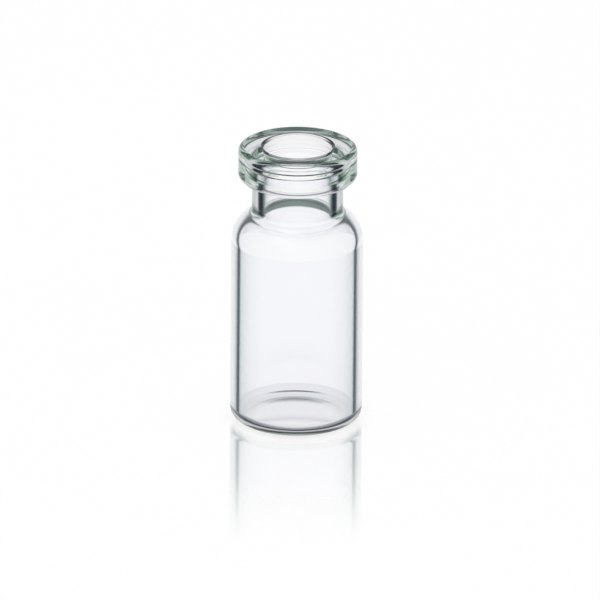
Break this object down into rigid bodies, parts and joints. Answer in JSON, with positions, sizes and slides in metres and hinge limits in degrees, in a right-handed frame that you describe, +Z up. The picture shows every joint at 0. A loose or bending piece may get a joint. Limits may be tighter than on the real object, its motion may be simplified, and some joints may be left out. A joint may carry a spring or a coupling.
{
  "type": "glass sample vial",
  "caption": "Small clear glass sample vial with a straight body, round shoulder, short neck and thick crimp flange, open at the mouth, standing on a narrow ring round a shallow push-up.",
  "frame": {"origin": "centre of the circle that the vial stands on, at the level of its standing ring", "axes": "+Z up along the vial's axis, from the foot towards the mouth; the vial is round, so +X and +Y are free"},
  "size_m": [0.0146, 0.0146, 0.032],
  "materials": {
    "clear_glass": "clear, fire-polished"
  },
  "bodies": {
    "root": {"vial": "clear_glass"}
  },
  "joints": []
}
